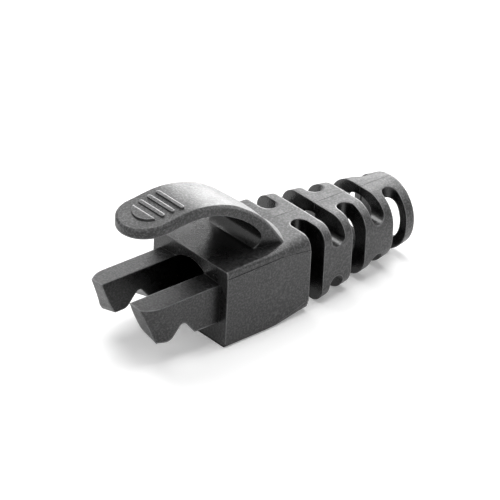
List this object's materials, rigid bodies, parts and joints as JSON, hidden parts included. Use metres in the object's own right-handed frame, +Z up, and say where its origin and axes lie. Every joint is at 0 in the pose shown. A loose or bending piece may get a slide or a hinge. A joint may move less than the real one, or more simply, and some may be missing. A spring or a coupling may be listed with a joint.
{
  "type": "strain relief boot",
  "caption": "Soft moulded boot for a network cable behind its plug, with a slotted bending tail, side arms that reach into the plug and a ribbed hood over its latch.",
  "frame": {"origin": "centre of the bore's mouth at the housing's front face, where the plug's rear end sits", "axes": "+X along the cable towards the tail, +Y across the boot, +Z up towards the hood"},
  "size_m": [0.0398, 0.0126, 0.017],
  "materials": {
    "boot": "fine-grained satin black, soft"
  },
  "bodies": {
    "root": {"boot": "boot"}
  },
  "joints": []
}
